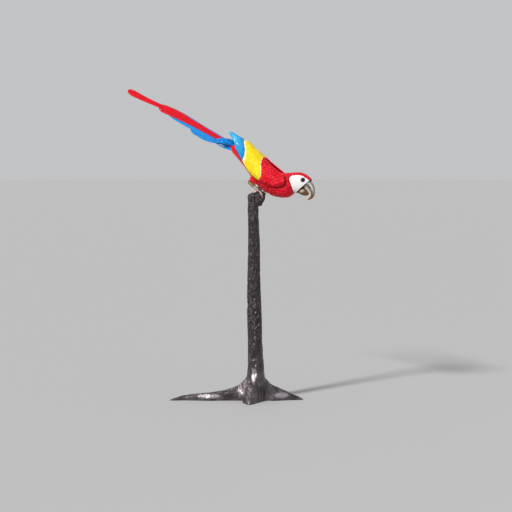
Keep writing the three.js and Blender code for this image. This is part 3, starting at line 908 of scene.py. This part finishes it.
# %% Tail blades
BLADE = {"row": 4, "columns": 12, "tip": 36, "roundness": 2.2, "tip_width": 0.05, "crowding": 1.5,
         "splits": 5, "split": 3.0, "shaft": 0.6, "shaft_width": 0.1, "arch": 1.5}  # lengths in millimetres
BLADES = {
    "middle": {"layer": 0, "length": 528, "left": [-5, -6, -8, -9, -20], "right": [12, 14, 15, 15.5, 18]},
    "second_right": {"layer": 1, "length": 362, "left": 0.2, "right": [9, 16, 21.3, 26, 28]},
    "second_left": {"layer": 1, "length": 362, "left": [-7, -8.7, -9, -21.5, -21], "right": -0.2},
    "third_right": {"layer": 2, "length": 311, "left": 0.2, "right": [10, 25, 35.5, 36.5, 31.5]},
    "third_left": {"layer": 2, "length": 290, "left": [-16, -21, -19, -24, -31], "right": -0.2},
    "fourth_right": {"layer": 3, "length": 194, "left": 0.2, "right": [10, 26, 46, 50.5, 50.5]},
    "fourth_left": {"layer": 3, "length": 194, "left": [-8, -11, -13, -15, -15], "right": -0.2},
    "outer_right": {"layer": 1, "before": 24, "length": 90, "left": [12, 19, 27.5, 30, 31],
                    "right": [25, 31, 35, 35, 34]},
    "outer_left": {"layer": 4, "before": 10, "length": 76, "left": [-10, -12, -13, -14, -14], "right": -4},
}


def tail_blade(name, layer, length, left, right, before=0.0):
    """One feather of the tail, with its shaft, thin edges and splits."""
    top = FAN["thickness"] - layer * (FAN["thickness"] + FAN["gap"])
    splits = [(random.uniform(0.25, 0.93), random.choice((-1, 1)), random.uniform(0.02, 0.06))
              for _ in range(BLADE["splits"])]
    slab = closed_slab(round(length / BLADE["row"]), BLADE["columns"])
    vanes = []
    for vertex in slab.verts:
        share = 1 - (1 - vertex.co.x) ** BLADE["crowding"]
        across = math.copysign(abs(vertex.co.y) ** BLADE["crowding"], vertex.co.y)
        edges = [eased(edge, share) if isinstance(edge, list) else edge for edge in (left, right)]
        half = (edges[1] - edges[0]) / 2
        past = max(0.0, 1 - (1 - share) * length / BLADE["tip"])
        half *= max(BLADE["tip_width"], math.sqrt(1 - past ** BLADE["roundness"]))
        for place, flank, depth in splits:
            if flank * across > 0:
                half *= 1 - depth * math.exp(-((share - place) * length / BLADE["split"]) ** 2)
        shaft = BLADE["shaft"] * math.exp(-(across / BLADE["shaft_width"]) ** 2) * (1 - share)
        upper = top - BLADE["arch"] * across * across + shaft
        height = upper if vertex.co.z > 0.5 else top - FAN["thickness"]
        vanes.append((share * length * MM, across, 1.0))
        vertex.co = on_fan(length * share - before, sum(edges) / 2 + half * across, height)
    bmesh.ops.recalc_face_normals(slab, faces=slab.faces)
    mesh = mesh_from(slab, f"blade_{name}")
    set_vanes(mesh, vanes)
    set_attribute(mesh, "tone", [random.uniform(0.5, 1.0)] * len(vanes))
    red = name.split("_")[0] in ("middle", "second")
    finish, slot = (tail_red, "enamel_red") if red else (tail_blue, "enamel_blue")
    return show(f"blade_{name}", mesh, finish, [f"tail_feather_{name}"])


random.seed(23)
for name, blade in BLADES.items():
    piece = tail_blade(name, **blade)
print("blades", len(BLADES), "last has", len(piece.data.polygons), "faces")

# %% [markdown]
# ## Coverts at the tail's root
# A leaf of blue coverts closes the gap between the back and the blades, above and below. Each is cast as one
# thick leaf, and its small feathers are laid on it like the rest of the coat.

# %% Leaves of coverts
FAN_LINE = [(-76, 1050), *FAN_SPINE[:3]]
LEAF_SIZES = {"upper": [(0, 13, 8.5, 0.7), (400, 13, 8.5, 0.7)],
              "under": [(0, 15, 9, 0.7), (400, 15, 9, 0.7)]}
random.seed(29)
for place, sizes in LEAF_SIZES.items():
    leaf = merged_copies([f"tail_coverts_{place}"], swell=0.3 * MM)
    mesh = casting(leaf, voxel=1.0 * MM, rounds=10)
    set_attribute(mesh, "tone", [0.3] * len(mesh.vertices))
    show(f"coverts_{place}", mesh, blue_feathers, [f"tail_coverts_{place}"])
    leaf_coat = Coat(surface_of(mesh), 4, 4)
    lay_rows(leaf_coat, FAN_LINE, sizes, lambda point, normal: not under_wing(point, normal))
    leaf_coat.piece(f"covert_feathers_{place}", blue_feathers, "enamel_blue")

# %% [markdown]
# ## The bill
# The bill is left as bare metal with a clear coat. The upper half is silvery, with a dark reflection painted
# along its side and a highlight painted as a bright streak between it and the ridge, rubbed to gold towards the
# tip, and with a pale polished cutting edge. The lower half is brass, with a pale highlight painted near its
# base. Both are smooth castings. The upper half's colours follow two numbers: how far along the bill a point
# is, and how far across from the cutting edge to the ridge.

# %% Measures on the upper bill
BILL_SPINE = [(208, 914), (227, 901), (240.5, 885), (246.5, 868), (242, 852), (230, 842.5), (217, 838.5)]
BILL_HALF = [17, 19, 16, 11.5, 9.5, 5, 1.5]


def bill_measures(point):
    """How far along the upper bill a point is, and how far from its middle towards the ridge, in halves."""
    best = None
    for i, (start, end) in enumerate(zip(BILL_SPINE, BILL_SPINE[1:])):
        start, step = Vector(start), Vector(end) - Vector(start)
        offset = Vector((point.x / MM, point.z / MM)) - start
        share = held(offset.dot(step) / step.length_squared)
        away = offset - share * step
        ridge = (away.x * -step.y + away.y * step.x) / step.length
        if best is None or away.length < best[0]:
            half = BILL_HALF[i] + share * (BILL_HALF[i + 1] - BILL_HALF[i])
            best = (away.length, (i + share) / (len(BILL_SPINE) - 1), ridge / half)
    return best[1:]


# %% The upper bill
steel = Finish("bill_metal", Coat_Weight=0.5, Coat_Roughness=0.08)
place = steel.place()
streaks = steel.cloud(place, 130, 3, stretch=(1.0, 1.0, 0.25))
along, across = steel.attribute("along"), steel.attribute("across")
silver = steel.mixed(streaks.rise(0.3, 0.75), paint(126, 122, 114), paint(200, 196, 188))
upper_part = along.rise(0.75, 0.5)
# painted reflection: a dark streak along the bill's side
dark_reflection = (across - 0.02).math("ABSOLUTE").rise(0.32, 0.06) * upper_part * 0.62
silver = steel.mixed(dark_reflection, silver, paint(70, 66, 66))
# painted highlight: a bright streak between the dark reflection and the ridge
highlight_streak = (across - 0.52).math("ABSOLUTE").rise(0.26, 0.06) * upper_part * 0.75
silver = steel.mixed(highlight_streak, silver, paint(242, 240, 238))
gold = along.rise(0.4, 0.62) * across.rise(-0.2, 0.25) * along.rise(1.0, 0.9)
colour = steel.mixed(gold, silver, paint(142, 102, 58))
cream = across.rise(-0.2, -0.42).largest(along.rise(0.8, 0.96))
steel.set(Base_Color=steel.mixed(cream, colour, paint(236, 221, 190)), Metallic=0.85 - 0.6 * cream)
steel.set(Roughness=0.2 + 0.18 * streaks)
steel.bump(streaks, 0.0004)
upper_bill = casting(merged_copies(["bill_upper"], swell=0.5 * MM), voxel=0.8 * MM, rounds=30)
measures = zip(*(bill_measures(vertex.co) for vertex in upper_bill.vertices))
for name, values in zip(("along", "across"), measures):
    set_attribute(upper_bill, name, values)
show("bill_top", upper_bill, steel, ["bill_upper"])

# %% The lower bill
BILL_HIGHLIGHT = {"x": 204, "z": 880, "reach": 24}  # the middle of the painted highlight and its reach, in millimetres
brass = Finish("bill_gold", Metallic=0.8, Coat_Weight=0.5, Coat_Roughness=0.08)
blotches = brass.cloud(brass.place(), 70, 2)
# painted highlight: paler brass near the top of the lower bill
lit = (brass.attribute("highlight_closeness") + blotches * 0.5 - 0.25).rise(0.35, 0.75)
brass.set(Base_Color=brass.mixed(lit, paint(118, 82, 42), paint(232, 216, 182)))
brass.set(Roughness=0.2 + 0.15 * blotches)
lower_bill = casting(merged_copies(["bill_lower"], swell=0.6 * MM), voxel=0.8 * MM, rounds=40)
away = [math.hypot(v.co.x / MM - BILL_HIGHLIGHT["x"], v.co.z / MM - BILL_HIGHLIGHT["z"]) for v in lower_bill.vertices]
set_attribute(lower_bill, "highlight_closeness", [1 - distance / BILL_HIGHLIGHT["reach"] for distance in away])
show("bill_under", lower_bill, brass, ["bill_lower"])

# %% [markdown]
# ## Legs and claws
# Shank and toes of each leg are one bronze casting, browner above and paler on the toes, worn bright where
# they rub. The claws are separate points, so that they can be filed sharp. Each toe runs on as a thin core
# inside its claw, so that the claw sits on metal and not before a gap.

# %% Legs
TOES = ["front_outer", "front_inner", "back_outer", "back_inner"]
leg_finish = Finish("leg_metal", Metallic=0.8, Coat_Weight=0.3, Coat_Roughness=0.12)
place = leg_finish.place()
lightening = leg_finish.cloud(place, 90, 3)
scutes = leg_finish.node("ShaderNodeTexVoronoi", {"feature": "DISTANCE_TO_EDGE"},
                         {"Vector": place, "Scale": 420.0})
on_toe = leg_finish.parts(place)[2].rise(0.905, 0.885)  # by height, in metres
leg_dark = leg_finish.mixed(on_toe, paint(100, 76, 48), paint(130, 106, 102))
leg_rubbed = leg_finish.mixed(on_toe, paint(200, 168, 124), paint(232, 210, 204))
leg_finish.set(Base_Color=leg_finish.mixed(lightening.rise(0.3, 0.65), leg_dark, leg_rubbed))
leg_finish.set(Roughness=0.25 + 0.25 * lightening)
leg_finish.bump(scutes.rise(0.0, 0.2), 0.0003)
for side in SIDES:
    leg_names = [f"shank_{side}"] + [f"toe_{side}_{toe}" for toe in TOES]
    claw_names = [f"claw_{side}_{toe}" for toe in TOES]
    whole = merged_copies(leg_names, swell=0.35 * MM)
    whole.from_mesh(mesh_from(merged_copies(claw_names, swell=-0.1 * MM), "cores"))
    leg = casting(whole, voxel=0.55 * MM, rounds=4)
    show(f"leg_{side}", leg, leg_finish, leg_names)
    claws = casting(merged_copies(claw_names, swell=0.3 * MM), voxel=0.45 * MM, rounds=2)
    show(f"claws_{side}", claws, leg_finish, claw_names)
print("legs", len(TOES), "toes each")

# %% [markdown]
# ## Post and roots
# The post is bronze cast from a mould of real bark: long plates with deep cracks between them, and smoother
# roots. Post, fork and roots become one skin. Each point of it moves along its normal by ridged noise, which is
# stretched along the trunk on the post and along each root at its foot. Finer lumps are only in the bump: there
# they catch the sun in small glints. The trunk is dull and dark with old patina, its relief crests paler: worn,
# and painted as highlights as well. Towards the foot it turns to bare glossy metal, with pale highlights
# painted on a few patches and on the upward-facing crests of the roots.

# %% The bark's relief
PERCH = ["post", "post_fork", "root_long", "root_right", "root_front", "root_back_left", "root_back_right"]
TRUNK_GRAIN = (0.011, 0.011, 0.032)  # the size of a bark plate, in metres
ROOT_GRAIN = {"round": 9.0, "up": 0.016, "out": 0.045}
BARK = {"middle": 0.35, "relief": 2.6, "top_relief": 0.5, "top": 0.8655, "floor": 0.004}
# Where each change starts on the way down, and the height over which it comes in, in metres
HEIGHTS = {"roots": (0.14, 0.07), "gloss": (0.2, 0.08), "wear": (0.12, 0.05)}
# Pale patches painted as highlights: a middle and the half sizes, in millimetres
PAINTED_HIGHLIGHTS = (((6, -45, 112), (17, 30, 40)), ((-44, -52, 36), (24, 30, 19)), ((-175, -84, 18), (66, 40, 13)),
          ((106, 20, 22), (55, 36, 16)))


def come_in(name, point):
    """How far a change has come in at a point, from 0 to 1."""
    start, ease = HEIGHTS[name]
    return held((start - point.z) / ease)


def highlight_share(point):
    """1 in the middle of a painted highlight patch, and 0 outside them all."""
    shares = []
    for middle, sizes in PAINTED_HIGHLIGHTS:
        steps = [(a / MM - b) / c for a, b, c in zip(point, middle, sizes)]
        shares.append(1 - math.sqrt(sum(step * step for step in steps)))
    return max(0.0, *shares)


def bark_ridges(point):
    """Ridged noise along the trunk, and along the roots that leave it."""
    trunk = Vector([value / size for value, size in zip(point, TRUNK_GRAIN)])
    angle, radius = math.atan2(point.y, point.x), math.hypot(point.x, point.y)
    root = Vector((angle * ROOT_GRAIN["round"], point.z / ROOT_GRAIN["up"], radius / ROOT_GRAIN["out"]))
    elsewhere = Vector((7, 7, 7))
    return [1 - 2 * abs(noise.fractal(at, 0.9, 2.1, 3)) for at in (trunk, root + elsewhere)]


bark_mesh = casting(merged_copies(PERCH, swell=1.0 * MM), voxel=2.4 * MM, rounds=4)
bark_mesh.shade_smooth()
marks = {"relief": [], "wear": [], "gloss": [], "rubbed": []}
normals = [vertex.normal.copy() for vertex in bark_mesh.vertices]
for vertex, normal in zip(bark_mesh.vertices, normals):
    point = vertex.co
    on_root = come_in("roots", point)
    on_trunk_ridge, on_root_ridge = bark_ridges(point)
    height = on_trunk_ridge * (1 - on_root) + (0.3 * on_root_ridge + 0.25) * on_root
    facing_up = held(0.3 + 0.9 * normal.z)
    marks["relief"].append(height)
    marks["gloss"].append(come_in("gloss", point))
    marks["rubbed"].append(highlight_share(point))
    # painted highlight: the upward-facing crests of the roots near the foot get paler
    marks["wear"].append(come_in("wear", point) * facing_up * held(1.6 * on_root_ridge - 0.2))
    flat_top = point.z > BARK["top"] and normal.z > 0.7
    in_floor = point.z < BARK["floor"]
    depth = BARK["top_relief"] if flat_top else 0.0 if in_floor else BARK["relief"]
    vertex.co = point + normal * (height - BARK["middle"]) * depth * MM
for name, values in marks.items():
    set_attribute(bark_mesh, name, values)
low, high = min(marks["relief"]), max(marks["relief"])
print("bark", len(bark_mesh.polygons), "faces, relief", round(low, 2), round(high, 2))

# %% The bark's finish
bark_finish = Finish("bark_metal", Specular_IOR_Level=0.65, Coat_Roughness=0.3, Coat_IOR=1.7)
place = bark_finish.place()
gloss = bark_finish.attribute("gloss")
grain = bark_finish.cloud(place, 190, 3, stretch=(1, 1, 0.16))
lumps = bark_finish.cloud(place, 110, 2, stretch=(1, 1, 0.55))
dust = bark_finish.cloud(place, 30, 3)
uneven = dust.rise(0.3, 0.65)
patina = bark_finish.mixed(uneven, paint(20, 11, 13), paint(46, 30, 34))
bare_metal = bark_finish.mixed(uneven, paint(38, 30, 35), paint(82, 73, 79))
ground = bark_finish.mixed(gloss, patina, bare_metal)
# pale relief crests on the trunk: worn patina, and painted highlights for the sun's glints as well
worn_crests_highlit = bark_finish.attribute("relief").rise(0.4, 1.0) * grain.rise(0.42, 0.66) * (1.0 - gloss) * 0.2
# painted highlight on the roots' upward-facing crests
lightening = bark_finish.attribute("wear") * uneven * 0.3
# painted highlight: a few pale patches on the flare and the roots
highlight_patches = (bark_finish.attribute("rubbed") + grain * 0.5 - 0.25).rise(0.05, 0.6) * 0.9
bright = worn_crests_highlit.largest(lightening).largest(highlight_patches)
bark_finish.set(Base_Color=bark_finish.mixed(bright, ground, paint(178, 169, 174)))
bark_finish.set(Roughness=0.3 + 0.14 * dust + 0.06 * gloss)
bark_finish.set(Metallic=0.15 + 0.8 * gloss, Coat_Weight=0.7 * gloss)
bark_finish.bump(grain * 0.3 + lumps * (1.1 - 0.8 * gloss), 0.0055)
show("bark_skin", bark_mesh, bark_finish, PERCH)
